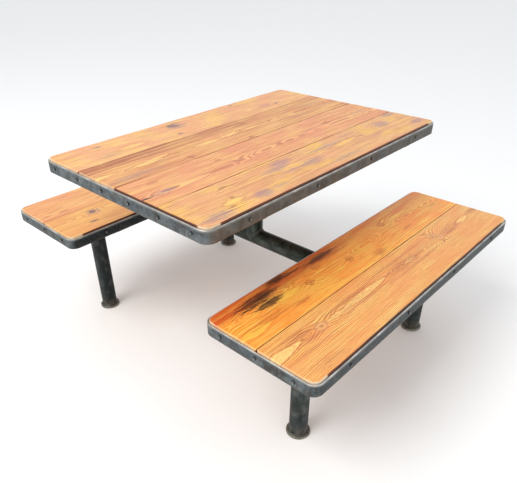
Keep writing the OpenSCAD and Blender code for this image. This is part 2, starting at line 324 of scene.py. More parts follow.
steelLook = {"metallic": 0.8, "dark": "#43494B", "light": "#596063", "chalk": "#7B8182", "grime": "#40342C",
             "griminess": 0.7, "chalkiness": 0.75, "roughness": 0.34, "spangle": 9, "speck": "#2E2A26",
             # next: the near-black painted shade colour, brown dirt, and pale rubbed zinc that is also the
             # rims' painted top-edge highlight
             "paintedShade": "#15191A", "dirt": "#75695A", "rubbedAndHighlight": "#EEEAE2"}
# the tubes' zinc is drawn much darker than the rims': painted shade of the table and benches above them
tubeLook = dict(steelLook, dark="#282E30", light="#383F40", chalk="#545B58", grime="#292B1A", griminess=0.75,
                chalkiness=0.55)
footLook = dict(tubeLook, dark="#6A6A60", light="#86867A", chalk="#A8A698", grime="#665C4A", chalkiness=0.8)
# under the table, out of the rain's reach, a thin green film grows on the zinc; the dark grey under it, like
# the tubes', is painted shade
beamLook = dict(tubeLook, dark="#262B27", light="#363D37", chalk="#535B51", grime="#25291A", griminess=0.85)
screwLook = dict(steelLook, dark="#222627", light="#343A3B", chalk="#454A4A", grime="#33251C", roughness=0.2)
zincLook = dict(steelLook, dark="#565B5C", light="#72787A", chalk="#7C8282", grime="#4A4238",
                griminess=0.4, roughness=0.25)
barSteel = galvanisedMaterial("weathered_galvanised_flat_bar", steelLook)
tubeSteel = galvanisedMaterial("weathered_galvanised_tube_with_painted_shade", tubeLook)
beamSteel = galvanisedMaterial("mossy_galvanised_tube_with_painted_shade", beamLook)
footSteel = galvanisedMaterial("dusty_galvanised_plate", footLook)
zincPlate = galvanisedMaterial("zinc_plated_fastener", zincLook)
agedZinc = galvanisedMaterial("weathered_zinc_plated_screw", screwLook)
print("metal finishes made")


# boards
boardShape = {
    "arris": 3.6 * mm,            # rounding of the edges against the rim
    "seamArris": 1.5 * mm,        # rounding of the edges against the next board
    "endArris": 3.0 * mm,
    "cornerRadius": 24 * mm,      # a corner board follows the inside of the rim
    "across": 56,                 # points over the top of a board
    "spacing": 5 * mm,            # between sections along a board
    "undulation": 0.35 * mm,      # wear of the top face, in hollows this many millimetres wide and long
    "hollow": (90, 260),
    "wander": 0.3,                # how unevenly the arris was rounded, and over how many millimetres
    "wanderRun": 160,
}


def boardRing(across, arc=5, upright=9):
    # outline of a board's section as shares: (across the face, outward across, up the side, outward up). The
    # second half is the first one turned half round
    bend = np.linspace(0, math.pi / 2, arc + 2)[1:-1]
    face, arcOnes, sideOnes = np.linspace(-1, 1, across), np.ones(arc), np.ones(upright)
    half = np.concatenate([
        (face, 0 * face, np.ones(across), np.ones(across)),
        (arcOnes, np.sin(bend), arcOnes, np.cos(bend)),
        (sideOnes, sideOnes, np.linspace(1, -1, upright), 0 * sideOnes),
        (arcOnes, np.cos(bend), -arcOnes, -np.sin(bend)),
    ], axis=1)
    return np.concatenate([half, -half], axis=1)


def boardGrid(low, high, look, shape):
    # sections of a rounded slab carried along Y. A section is narrower in a rounded corner, shrinks round the
    # end arris, and closes to a line at the middle of the end face. It gives the points, their places across
    # and along in millimetres, how far each faces sideways, and its distance from the end in millimetres
    length, seed = high[1] - low[1], look["seed"]
    closingRows = 5
    corner = np.linspace(0, math.pi / 2, 15)
    fromEnd = shape["cornerRadius"] * (1 - np.cos(corner))
    inner = np.arange(shape["cornerRadius"] + shape["spacing"], length / 2, shape["spacing"])
    half = np.concatenate([np.zeros(closingRows), fromEnd[1:], inner])
    closing = np.concatenate([np.linspace(0, 1, closingRows + 1)[:-1], np.ones(len(half) - closingRows)])
    fromEnd = np.concatenate([half, [length / 2], half[::-1]])[:, None]
    closing = np.concatenate([closing, [1], closing[::-1]])[:, None]
    along = np.concatenate([low[1] + half, [(low[1] + high[1]) / 2], high[1] - half[::-1]])[:, None]
    radius = shape["cornerRadius"]
    rounding = radius - np.sqrt(np.maximum(0, radius ** 2 - np.maximum(0, radius - fromEnd) ** 2))
    end = shape["endArris"]
    shrink = end - np.sqrt(np.maximum(0, end ** 2 - np.maximum(0, end - fromEnd) ** 2))
    cu, nu, cz, nz = boardRing(shape["across"])[:, None]
    wave = 1 + shape["wander"] * drift(along / mm, seed + 5, shape["wanderRun"])
    arrisLeft = wave * (shape["arris"] if look["outer"] < 0 else shape["seamArris"])
    arrisRight = wave * (shape["arris"] if look["outer"] > 0 else shape["seamArris"])
    left = low[0] + shrink + (rounding if look["outer"] < 0 else 0) + arrisLeft
    right = high[0] - shrink - (rounding if look["outer"] > 0 else 0) - arrisRight
    share = (cu + 1) / 2
    arris = arrisLeft + (arrisRight - arrisLeft) * share
    x = left + share * (right - left) + nu * arris
    halfHeight = (high[2] - low[2]) / 2 - shrink
    z = (cz * (halfHeight - arris) + nz * arris) * closing
    y = along + 0 * x
    u, v = (x - (low[0] + high[0]) / 2) / mm, y / mm
    worn = shape["undulation"] * mottle(u, v, seed + 9, *shape["hollow"])
    z = z + (low[2] + high[2]) / 2 + worn * (nz > 0) * closing
    return np.stack([x, y, z], -1), u, v, nu + 0 * x, fromEnd / mm + 0 * x


# how the growth rings waver, in millimetres, and how far a knot bends them, as shares of its own size
grain = {"swayRun": 1500, "waver": 2.6, "waverSize": (60, 330), "ripple": 0.7, "rippleSize": (26, 110),
         "knotBump": 1.5, "knotAcross": 2.1, "knotAlong": 3.2, "crowding": 0.35, "crowdingRings": 7}


def growthRings(u, v, look):
    # distance from the tree's pith in ring widths. The pith runs along the board at a slowly changing
    # side offset and depth, and a knot lifts the rings in a bump that the grain flows round
    seed = look["seed"]
    pith = look["pith"] + look["sway"] * drift(v, seed + 1, grain["swayRun"], 3)
    depth = look["depth"] + look["slope"] * v + look["heave"] * drift(v, seed + 2, look["heaveLength"], 3)
    distance = np.hypot(u - pith, depth) + grain["waver"] * mottle(u, v, seed + 3, *grain["waverSize"])
    distance = distance + grain["ripple"] * mottle(u, v, seed + 7, *grain["rippleSize"])
    for knotU, knotV, width, length, strength in look["marks"].get("knot", ()):
        across = (u - knotU) / (grain["knotAcross"] * width)
        along = (v - knotV) / (grain["knotAlong"] * length)
        distance = distance + grain["knotBump"] * width * strength * np.exp(-across ** 2 - along ** 2)
    count = distance / look["ringWidth"]
    return count + grain["crowding"] * drift(count, seed + 4, grain["crowdingRings"], 3)


# how ragged the outlines of the marks are, as a share of their size, and over how many millimetres
ragged = {"rough": 0.22, "roughSize": (9, 24), "knot": 0.28, "knotSize": (14, 20)}


def markField(kind, u, v, look):
    # how near each point is to a mark of one kind: 1 in its middle, 0.5 on its outline and 0 as far away
    # again. A knot is an ellipse, a pale flame runs out to a point along the grain, and a patch is in between
    near = np.zeros(u.shape)
    rough = ragged["rough"] * mottle(u, v, look["seed"] + 11, *ragged["roughSize"])
    knotty = ragged["knot"] * mottle(u, v, look["seed"] + 13, *ragged["knotSize"])
    for markU, markV, width, length, strength in look["marks"].get(kind, ()):
        across, along = np.abs(u - markU) / width, np.abs(v - markV) / length
        if kind == "knot":
            reach = np.hypot(across, along) + knotty
        elif kind == "pale":
            reach = across + along ** 1.6
        else:
            reach = (across ** 1.5 + along ** 1.5) ** 0.67 + rough
        near = np.maximum(near, strength * (1 - (reach + 0.5 * rough) / 2))
    return np.clip(near, 0, 1)


# where the boards' edges are sanded pale, or dark with stain and painted shade, in millimetres
edgeWearAndShade = {
    "cornerEnd": (44, 50),        # the outer side is sanded pale this far from a corner, and dark beyond
    "endReach": (0.4, 1.8),       # the sanding of an end fades out between these distances over the top face
    "cornerReach": 3.5,           # and this much further on at the outer corners
    "cornerStart": (52, 74),      # where an outer corner starts, from the board's middle
    "darkEndStop": (56, 62),      # where an outer board's dark end stops, from its middle
    "stripBlur": 9,               # the dark strip's edge fades over this much each way
    "stripWander": 3,             # and wanders by this much, over stripRun
    "stripRun": 300,
    "stripLeft": 0.35,            # how much of the strip is left past its end
}


def makeBoard(node, look):
    # one board, with the fields that its material reads: marks, growth rings, dark strip, edges worn pale,
    # and edges dark with stain and painted shade
    low, high = nodeCorners(node)
    points, u, v, sideways, fromEnd = boardGrid(low, high, look, boardShape)
    outer, wear = look["outer"], edgeWearAndShade
    fields = {kind: markField(kind, u, v, look) for kind in ("knot", "stain", "char", "pale")}
    fields["rings"] = growthRings(u, v, look)
    stripEdge = look["stripEdge"] + wear["stripWander"] * drift(v, look["seed"] + 6, wear["stripRun"])
    past = smoothStep(look["stripEnd"] - look["stripFade"], look["stripEnd"] + look["stripFade"], v)
    strip = 1 - smoothStep(stripEdge - wear["stripBlur"], stripEdge + wear["stripBlur"], u)
    fields["strip"] = strip * (1 - (1 - wear["stripLeft"]) * past)
    # the exposed side and end: dark in the long stretches, part stain and part painted shade; sanded pale
    # round the corners
    outwards = smoothStep(0.1, 0.5, sideways * outer)
    alongSide = smoothStep(*wear["cornerEnd"], fromEnd)
    nearCorner = smoothStep(*wear["cornerStart"], u * outer)
    endFade, endStop = wear["endReach"]
    endFace = 1 - smoothStep(endFade, endStop + wear["cornerReach"] * nearCorner, fromEnd)
    beforeCorner = 1 - smoothStep(*wear["darkEndStop"], u * outer)
    stainAndShadeEnd = np.where(v < 0, look["stainAndShadeFront"], 0) * endFace * beforeCorner
    # the sides against the next board get the dark edge colour as painted shade of the gap
    seamShade = smoothStep(0.25, 0.8, np.abs(sideways)) * (sideways * outer <= 0)
    fields["edge"] = np.maximum(np.maximum(outwards * alongSide, stainAndShadeEnd), 0.85 * seamShade)
    sanded = np.maximum(outwards * (1 - alongSide), endFace * (0.5 + 0.5 * nearCorner))
    fields["sanded"] = sanded * (1 - fields["edge"])
    material = timberMaterial("oiled_fir_" + node, look)
    return makePiece(node + "_fir", points, gridQuads(*u.shape, closeColumns=True), material,
                     [node], fields, 50)


# a board's usual look: the pith's place and wanderings and the ring width in millimetres, then the finish.
# outer is the side that the rim covers, -1 left, 1 right or 0 neither, and a strip is dark left of stripEdge
plainLook = {
    "outer": 0, "seed": 1, "pith": 20, "sway": 15, "depth": 60, "slope": 0.0, "heave": 8, "heaveLength": 500,
    "ringWidth": 6.0, "lateStart": 0.45, "contrast": 0.8, "early": "#F7BF78", "late": "#B0662F",
    "streak": "#D88A4C", "cloud": "#EE9D68", "cloudiness": 0.6, "bright": "#FECB74", "goldness": 0.3,
    "strip": "#C08A66", "stripEdge": -200, "stripEnd": 2000, "stripFade": 6, "flameLine": 0.45,
    "knot": "#5E3426", "heart": "#C77E48", "stain": "#8C6C74", "char": "#24100B", "crack": "#7A431F",
    "fibre": "#8A5530", "fibreDepth": 0.22, "wobble": 0.5, "sanded": ("#E6D5B8", "#BFA27A"),
    # the dark edge colours below are part stain, part painted shade
    "edge": ("#1E0A04", "#7A3A10"), "coat": 0.1, "roughness": 0.38, "stainAndShadeFront": 0, "marks": {},
}

# marks of each kind are (across from the board's middle, along, half width, half length, strength), in
# millimetres
boardLooks = {
    "table_board_1": dict(
        plainLook, outer=-1, seed=11, pith=-150, depth=40, ringWidth=5.0, contrast=0.85, early="#FCCB84",
        late="#C0763A", streak="#DB9660", cloud="#F2AA7C", cloudiness=0.75, goldness=0.75, bright="#FFCE6C",
        knot="#4A3448", heart="#8E6A70",
        marks={
            "knot": [(-42, -102, 12, 17, 1.0), (-48, -416, 5, 12, 1.0), (51, -138, 6, 8, 1.0),
                     (-70, 234, 5, 9, 1.0), (45, 386, 6, 9, 1.0)],
            "stain": [(-26, -92, 30, 44, 0.8), (-58, -76, 14, 26, 0.8), (50, -430, 18, 60, 0.6),
                      (34, 330, 18, 60, 0.65), (-20, -240, 12, 70, 0.55), (-50, 70, 10, 60, 0.5)],
            "char": [(-30, -84, 3, 16, 0.7), (-44, -108, 4, 13, 0.8)],
            "pale": [(30, -330, 24, 90, 0.7)],
        }),
    "table_board_2": dict(
        plainLook, seed=23, pith=6, sway=6, depth=7, slope=0.012, heave=11, heaveLength=330, ringWidth=5.6,
        contrast=0.9, early="#F6BC72", late="#A8622E", streak="#D08448", strip="#D6BDB4", stripEdge=-36,
        stripEnd=100, knot="#7A4226", cloudiness=0.4, flameLine=0.8,
        marks={
            "knot": [(68, -270, 8, 12, 1.0), (80, -2, 7, 11, 1.0)],
            "stain": [(62, -480, 24, 130, 0.65), (-20, 470, 10, 110, 0.6), (40, 300, 7, 140, 0.6)],
            "pale": [(4, -572, 12, 70, 0.95), (8, -400, 13, 70, 0.9), (-4, -350, 8, 60, 0.9),
                     (8, -140, 12, 66, 1.0), (4, -34, 10, 60, 1.0), (6, 70, 8, 56, 1.0),
                     (0, 250, 6, 90, 0.8)],
        }),
    "table_board_3": dict(
        plainLook, seed=37, pith=24, sway=18, depth=13, slope=-0.008, heave=11, heaveLength=420,
        ringWidth=6.4, contrast=0.9, early="#F8B978", late="#B4683A", streak="#DB8A54", cloud="#EE9C70",
        cloudiness=0.6, knot="#8E4C2C", heart="#D88A58", stainAndShadeFront=1,
        marks={
            "knot": [(-44, -482, 8, 15, 0.9), (-33, -238, 7, 10, 0.9), (20, -198, 9, 13, 1.0),
                     (16, 6, 8, 11, 1.0), (-8, 294, 9, 13, 1.0)],
            "stain": [(30, -500, 13, 38, 1.0), (-5, 200, 14, 60, 0.5), (0, 480, 16, 80, 0.55)],
            "char": [(32, -566, 4, 24, 1.0)],
        }),
    "table_board_4": dict(
        plainLook, outer=1, seed=41, pith=-120, depth=30, ringWidth=5.4, contrast=0.9, early="#F9C682",
        late="#B26C38", streak="#D49258", cloud="#F1AA74", cloudiness=0.6, goldness=0.95, bright="#FFCB5E",
        knot="#6A4436", heart="#C08050", stain="#94717C", stainAndShadeFront=1,
        marks={
            "knot": [(-57, -379, 4, 12, 1.0), (51, -446, 4, 15, 1.0), (9, -406, 6, 7, 1.0),
                     (-17, 254, 5, 6, 1.0)],
            "stain": [(-57, -130, 17, 42, 1.0), (-33, -176, 15, 54, 0.95), (7, -56, 18, 52, 1.0),
                      (4, -140, 12, 60, 0.7), (-41, 78, 9, 110, 0.9), (55, -330, 22, 36, 0.95),
                      (63, -506, 20, 56, 0.95), (-77, 526, 14, 40, 0.95), (45, 534, 16, 40, 0.95),
                      (-33, 408, 24, 36, 1.0), (60, 60, 14, 110, 0.75), (52, -250, 12, 60, 0.7),
                      (20, 300, 8, 80, 0.6), (-60, 230, 7, 90, 0.6)],
            "char": [(-20, 408, 3, 16, 0.6)],
            "pale": [(30, -420, 22, 50, 0.75), (-5, -110, 8, 120, 0.85), (-20, 160, 18, 110, 0.7)],
        }),
    "bench_board_left_outer": dict(
        plainLook, outer=-1, seed=53, pith=40, depth=26, ringWidth=6.2, contrast=0.7, early="#F8BA72",
        late="#BE7238", streak="#DE904E", cloud="#F0A06C", coat=0.15),
    "bench_board_left_inner": dict(
        plainLook, outer=1, seed=67, pith=-36, depth=20, ringWidth=6.4, contrast=0.66, early="#FAC06A",
        late="#C27A38", streak="#E49A4C", cloud="#F2A860", coat=0.15, knot="#4A3440", heart="#7A5A60",
        marks={
            "knot": [(-38, -401, 9, 12, 1.0), (33, -439, 5, 16, 1.0)],
            "stain": [(-36, -396, 22, 30, 0.9)],
        }),
    "bench_board_right_inner": dict(
        plainLook, outer=-1, seed=79, pith=-8, sway=24, depth=15, slope=0.01, heave=13, heaveLength=420,
        ringWidth=6.4, contrast=0.8, early="#FFC65E", late="#E27E26", streak="#FA9A2E", cloud="#FFA040",
        cloudiness=0.75, bright="#FFCB50", goldness=0.45, strip="#E0928C", stripEdge=-44, stripEnd=-60,
        stripFade=420, knot="#A34A12", heart="#EE8F3E", stain="#BC5520", coat=0.15, roughness=0.34,
        flameLine=0.6,
        marks={
            "knot": [(-34, -159, 10, 14, 1.0), (6, -238, 10, 14, 1.0), (18, -47, 10, 14, 1.0),
                     (-34, 226, 11, 14, 1.0)],
            "stain": [(-60, -380, 34, 190, 0.95), (-62, -110, 26, 130, 0.9), (-84, -470, 6, 110, 0.9),
                      (-76, -430, 4, 130, 0.9), (-40, -80, 4, 110, 0.9), (66, 58, 18, 36, 0.8),
                      (45, 274, 5, 30, 1.0), (26, 498, 5, 30, 0.9), (50, -330, 7, 34, 0.95),
                      (28, -470, 4, 100, 1.0), (40, -430, 4, 120, 1.0), (14, -440, 3, 90, 0.9)],
            "char": [(-52, -412, 17, 78, 1.0), (-14, -398, 14, 50, 1.0), (-78, -296, 15, 54, 0.8),
                     (-60, -98, 12, 74, 0.9), (-70, -250, 5, 90, 0.75), (-34, -440, 4, 90, 0.8),
                     (-66, -350, 3, 90, 0.7)],
            "pale": [(-2, -330, 14, 60, 1.0), (44, -520, 20, 90, 0.8), (-30, 330, 14, 120, 0.7),
                     (40, 140, 12, 110, 0.6)],
        }),
    "bench_board_right_outer": dict(
        plainLook, outer=1, seed=83, pith=-28, sway=7, depth=3, slope=0.004, heave=15, heaveLength=300,
        ringWidth=4.8, contrast=0.85, lateStart=0.4, early="#FFC96C", late="#C47038", streak="#F8A854",
        cloud="#FFAE62", bright="#FFD884", knot="#A85A30", heart="#F6B878", stain="#B8663E", coat=0.15,
        roughness=0.36, flameLine=1.0,
        marks={
            "knot": [(-29, -386, 14, 20, 1.0), (-47, 268, 13, 18, 1.0), (-18, 280, 11, 15, 1.0)],
            "stain": [(-30, -300, 24, 420, 0.5), (-28, 200, 24, 420, 0.5), (-46, -452, 12, 60, 1.0),
                      (-16, -436, 10, 46, 0.9), (-47, -240, 6, 120, 1.0), (-10, -210, 6, 140, 0.9),
                      (-26, 30, 20, 84, 0.9), (-22, 92, 14, 36, 1.0), (-24, 350, 16, 74, 1.0),
                      (-30, 545, 14, 44, 0.9), (-56, 60, 5, 200, 0.9), (2, 60, 5, 220, 0.8),
                      (-60, -480, 6, 110, 0.8), (10, -470, 5, 120, 0.8), (60, -480, 26, 90, 0.6)],
            "pale": [(-30, -566, 17, 104, 1.0), (-34, -384, 9, 22, 1.0), (-28, -316, 9, 60, 0.95),
                     (-28, -180, 12, 130, 1.0), (-23, 78, 7, 42, 0.95), (-24, 452, 11, 52, 1.0)],
        }),
}


for boardNode, boardLook in boardLooks.items():
    makeBoard(boardNode, boardLook)
print("boards made")


# rims
rimShape = {
    "thickness": 5 * mm,
    "radius": 30 * mm,
    "edge": 1.5 * mm,
    "spacing": 14 * mm,
    "bow": 0.35 * mm,             # how far the bar bows in and out, and over how many millimetres
    "bowRun": 520,
    "lift": 0.15 * mm,            # how far it rises and falls, and over how many millimetres
    "liftRun": 300,
}


def rimPath(halfX, halfY, radius, spacing):
    # closed rounded rectangle, anticlockwise: points, outward directions and distance along
    bend = np.linspace(0, math.pi / 2, 14)
    centres = np.array([(1, 1), (-1, 1), (-1, -1), (1, -1)]) * (halfX - radius, halfY - radius)
    points, outward = [], []
    for quarter, (centre, nextCentre) in enumerate(zip(centres, np.roll(centres, -1, 0))):
        angle = bend + quarter * math.pi / 2
        direction = np.stack([np.cos(angle), np.sin(angle)], -1)
        run = nextCentre - centre
        straight = np.linspace(0, 1, max(3, int(np.linalg.norm(run) / spacing)))[1:-1, None]
        points += [centre + radius * direction, centre + radius * direction[-1] + straight * run]
        outward += [direction, np.repeat(direction[-1:], len(straight), 0)]
    points, outward = np.concatenate(points), np.concatenate(outward)
    steps = np.linalg.norm(np.roll(points, -1, 0) - points, axis=1)
    return points, outward, np.concatenate([[0], np.cumsum(steps)[:-1]])


def flatBarSection(thickness, height, edge, arc=4, upright=5):
    # a flat bar's section with rolled edges, as (distance inwards from the outer face, height): a quarter
    # circle for each corner, with points up the inner face and down the outer one
    bend = np.linspace(0, math.pi / 2, arc)
    side = np.linspace(edge, height - edge, upright + 2)[1:-1]
    inwards, up = [], []
    for quarter in range(4):
        angle = bend - math.pi + quarter * math.pi / 2
        inwards.append((thickness - edge if quarter in (1, 2) else edge) + edge * np.cos(angle))
        up.append((height - edge if quarter in (2, 3) else edge) + edge * np.sin(angle))
        if quarter in (1, 3):
            inwards.append(np.full(upright, thickness if quarter == 1 else 0))
            up.append(side if quarter == 1 else side[::-1])
    return np.concatenate(inwards), np.concatenate(up)


def makeRim(node, seed):
    # the flat bar's section carried round the boards, bowing slightly in and out as bent bar does
    low, high = nodeCorners(node)
    centre, half = (low + high) / 2, (high - low) / 2
    path, outward, distance = rimPath(half[0], half[1], rimShape["radius"], rimShape["spacing"])
    inwards, up = flatBarSection(rimShape["thickness"], high[2] - low[2], rimShape["edge"])
    run = distance / mm
    offset = rimShape["bow"] * drift(run, seed, rimShape["bowRun"])[:, None] - inwards[None]
    x = centre[0] + path[:, :1] + outward[:, :1] * offset
    y = centre[1] + path[:, 1:] + outward[:, 1:] * offset
    z = low[2] + up[None] + rimShape["lift"] * drift(run, seed + 1, rimShape["liftRun"])[:, None]
    # rubbed bright along the top, part wear and part painted highlight, and browner low down and on the
    # table's +X face
    height = up / (high[2] - low[2])
    top = smoothStep(0.93, 0.995, height) + 0 * x
    # the bright top line is part wear, part painted highlight
    wear = top * (0.75 + 0.25 * drift(run, seed + 2, 120))[:, None]
    side = np.sign(round(centre[0], 3))
    facingPlusX = smoothStep(0.5, 1, outward[:, :1])
    # a brown tint on the table rim's +X face
    plusXBrowning = 0 if side else facingPlusX * (0.4 + 0.25 * drift(run, seed + 3, 170))[:, None]
    dirt = 0.35 * (1 - smoothStep(0.0, 0.25, height)) + plusXBrowning * (1 - top)
    # painted shade, near-black, on the benches' +X faces and on the faces that they turn to the table
    inner = smoothStep(0.5, 1, -side * outward[:, :1])
    paintedShade = (0.45 * facingPlusX + 0.4 * inner) * (1 - top) if side else 0 * x
    quads = gridQuads(*x.shape, closeRows=True, closeColumns=True)
    return makePiece(node + "_bar", np.stack([x, y, z], -1), quads, barSteel, [node],
                     {"wear": wear, "dirt": dirt, "paintedShade": paintedShade}, 60)


for seed, rimNode in enumerate(("table_rim", "bench_rim_left", "bench_rim_right")):
    makeRim(rimNode, 100 + 10 * seed)
print("rims made")


# frame tubes
tubeShape = {"wall": 3.2 * mm, "weldGap": 0.3 * mm, "around": 80, "steps": 24, "vent": 8 * mm,
             "ventRise": 7 * mm}
# dirt reaches dirtRise millimetres up from the ground, and the right legs are scraped more than the rest
# the last value is the strength of the painted shade on the +X side of the left legs and rail
tubeWear = {"dirt": 0.75, "dirtRise": 45, "scraped": 0.08, "rightScraped": 0.13, "leftScraped": 0.06,
            "paintedShade": 0.7}


def saddleReach(angle, radius, mainRadius):
    # how far from another tube's axis a tube's wall meets it: the square root of the other's radius squared
    # less the square of this one's radius times the sine of the angle
    return np.sqrt(mainRadius ** 2 - (radius * np.sin(angle)) ** 2)


def tubeSurface(start, along, across, length, radius, startSaddle=False, endSaddle=False):
    # a tube's outer wall from start to end and its inner wall back: circles of points round its axis, each
    # end flat or cut to fit a tube of the same size that runs along the across direction
    along, across = np.array(along, float), np.array(across, float)
    angle = np.linspace(0, turn, tubeShape["around"], endpoint=False)
    direction = np.cos(angle)[:, None] * across + np.sin(angle)[:, None] * np.cross(along, across)
    share = np.linspace(0, 1, tubeShape["steps"])[:, None]
    walls = []
    for wallRadius, shares in ((radius, share), (radius - tubeShape["wall"], share[::-1])):
        reach = saddleReach(angle, wallRadius, radius + tubeShape["weldGap"])
        first = reach if startSaddle else 0 * reach
        last = length - (reach if endSaddle else 0 * reach)
        distance = first + (last - first) * shares
        walls.append(np.array(start) + distance[..., None] * along + wallRadius * direction)
    return np.concatenate(walls)


def tubeFields(points, seed, lowest, scraped=tubeWear["scraped"], shadeOnPlusX=False):
    # grime gathers low on the frame, the zinc is scraped here and there, and a tube can be given painted
    # shade on its +X side
    x, y, z = np.moveaxis(points / mm, -1, 0)
    low = 1 - smoothStep(0, tubeWear["dirtRise"], z - lowest / mm)
    dirt = tubeWear["dirt"] * low * (0.7 + 0.5 * mottle(x + y, z, seed, 30, 30))
    wear = scraped * smoothStep(0.1, 1.0, mottle(x + y, z + 0.6 * y, seed + 1, 75, 60))
    across = (x - x.mean()) / np.abs(x - x.mean()).max()
    paintedShade = tubeWear["paintedShade"] * smoothStep(0.0, 0.9, across) if shadeOnPlusX else 0 * x
    return {"dirt": np.clip(dirt, 0, 1), "wear": wear, "paintedShade": paintedShade}


def drill(piece, place, direction, diameter, depth):
    # a round hole along Y or Z, sunk depth past place
    cutter = bpy.data.meshes.new("cutter")
    tool = bmesh.new()
    bmesh.ops.create_cone(tool, cap_ends=True, segments=32, radius1=diameter / 2, radius2=diameter / 2,
                          depth=2 * depth)
    tool.to_mesh(cutter)
    tool.free()
    cutterObject = bpy.data.objects.new("cutter", cutter)
    cutterObject.location = place
    cutterObject.rotation_euler = (math.pi / 2 if abs(direction[1]) else 0, 0, 0)
    bpy.context.scene.collection.objects.link(cutterObject)
    cut = piece.modifiers.new("vent", "BOOLEAN")
    cut.operation, cut.object, cut.solver = "DIFFERENCE", cutterObject, "EXACT"
    graph = bpy.context.evaluated_depsgraph_get()
    piece.data = bpy.data.meshes.new_from_object(piece.evaluated_get(graph))
    piece.modifiers.clear()
    piece.data.set_sharp_from_angle(angle=math.radians(35))
    bpy.data.objects.remove(cutterObject)


tubeQuads = gridQuads(2 * tubeShape["steps"], tubeShape["around"], True, True)
legCentres, tubeRadius = {}, 0
for side in ("left", "right"):
    for end in ("front", "rear"):
        low, high = nodeCorners(f"leg_{side}_{end}")
        centre = (low + high) / 2
        tubeRadius = (high[0] - low[0]) / 2
        legCentres[side, end] = centre
        base = (centre[0], centre[1], low[2])
        points = tubeSurface(base, (0, 0, 1), (1, 0, 0), high[2] - low[2], tubeRadius)
        # the left legs, under the left bench and the table, get painted shade on their +X side
        fields = tubeFields(points, len(legCentres), low[2], tubeWear[side + "Scraped"], side == "left")
        leg = makePiece(f"leg_{side}_{end}_tube", points, tubeQuads, tubeSteel,
                        [f"leg_{side}_{end}"], fields)
        outwards = np.sign(centre[1])
        drill(leg, (centre[0], centre[1] + outwards * tubeRadius, low[2] + tubeShape["ventRise"]),
              (0, outwards, 0), tubeShape["vent"], 2 * tubeShape["wall"])

railHeight = (nodeCorners("rail_left")[0][2] + nodeCorners("rail_left")[1][2]) / 2
for side in ("left", "right"):
    front, rear = legCentres[side, "front"], legCentres[side, "rear"]
    points = tubeSurface((front[0], front[1], railHeight), (0, 1, 0), (0, 0, 1), rear[1] - front[1],
                         tubeRadius, True, True)
    # the left rail gets the same painted shade
    makePiece(f"rail_{side}_tube", points, tubeQuads, tubeSteel, [f"rail_{side}"],
              tubeFields(points, 20, 0, shadeOnPlusX=side == "left"))
leftX, rightX = legCentres["left", "front"][0], legCentres["right", "front"][0]
points = tubeSurface((leftX, 0, railHeight), (1, 0, 0), (0, 1, 0), rightX - leftX, tubeRadius, True, True)
makePiece("cross_beam_tube", points, tubeQuads, beamSteel, ["cross_beam"],
          tubeFields(points, 30, 0))
postTop = nodeCorners("centre_post")[1][2]
points = tubeSurface((0, 0, railHeight), (0, 0, 1), (1, 0, 0), postTop - railHeight, tubeRadius, True)
makePiece("centre_post_tube", points, tubeQuads, beamSteel, ["centre_post"],
          tubeFields(points, 40, 0))
print("tubes made")


# turned pieces: foot plates, screws, washers, nuts and studs
def turnedSurface(radius, height, around=48):
    # a profile of radii and heights turned round Z
    angle = np.linspace(0, turn, around, endpoint=False)
    radius, height = np.array(radius)[:, None], np.array(height)[:, None]
    return np.stack([radius * np.cos(angle), radius * np.sin(angle), height + 0 * angle], -1)


def roundEdge(radius, height, edge, outUp, arc=5):
    # a quarter circle of size edge that ends in the corner (radius, height); outUp is 1 when it turns from
    # the side to a top face and -1 when it turns from a bottom face to the side
    bend = np.linspace(0, math.pi / 2, arc)
    if outUp > 0:
        return radius - edge + edge * np.cos(bend), height - edge + edge * np.sin(bend)
    return radius - edge + edge * np.sin(bend), height + edge - edge * np.cos(bend)


def placeOn(points, places, directions):
    # copies of a surface drawn along +Z, moved to each place and turned so that +Z runs along its direction
    placed = []
    for place, direction in zip(places, directions):
        direction = np.array(direction, float)
        helper = np.array([0, 0, 1.0]) if abs(direction[2]) < 0.9 else np.array([1.0, 0, 0])
        first = np.cross(helper, direction)
        first /= np.linalg.norm(first)
        second = np.cross(direction, first)
        placed.append(np.array(place) + points @ np.array([first, second, direction]))
    return np.array(placed)


def clusters(values, gap=5 * mm):
    # the middles of the runs of values that lie within gap of each other
    values = np.sort(values)
    runs = np.split(values, np.flatnonzero(np.diff(values) > gap) + 1)
    return [(run[0] + run[-1]) / 2 for run in runs]


def nodePoints(node):
    # all the corners of a CAD node's mesh
    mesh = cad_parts[node].data
    points = np.empty(3 * len(mesh.vertices), np.float32)
    mesh.vertices.foreach_get("co", points)
    return points.reshape(-1, 3).astype(float)


headGap = 0.5 * mm  # a screw head's points stand out past its seat by more than this
footShape = {"edge": 2.2 * mm, "around": 72, "dirt": 0.3, "dirtVaries": 0.2}
for side in ("left", "right"):
    for end in ("front", "rear"):
        low, high = nodeCorners(f"foot_{side}_{end}")
        radius, thickness = (high[0] - low[0]) / 2, high[2] - low[2]
        under = roundEdge(radius, 0, footShape["edge"], -1)
        top = roundEdge(radius, thickness, footShape["edge"], 1)
        r = np.concatenate([[0, radius / 2], under[0], top[0], [radius * 0.75, radius * 0.4, 0]])
        h = np.concatenate([[0, 0], under[1], top[1], [thickness] * 3])
        surface = turnedSurface(r, h, footShape["around"])
        centre = (low + high) / 2
        points = surface + np.array([centre[0], centre[1], low[2]])
        angles = np.arctan2(surface[..., 1], surface[..., 0])
        dirt = footShape["dirt"] + footShape["dirtVaries"] * np.cos(3 * angles + centre[0] * 9)
        quads = gridQuads(len(r), footShape["around"], closeColumns=True)
        makePiece(f"foot_{side}_{end}_plate", points, quads, footSteel,
                  [f"foot_{side}_{end}"], {"dirt": dirt})

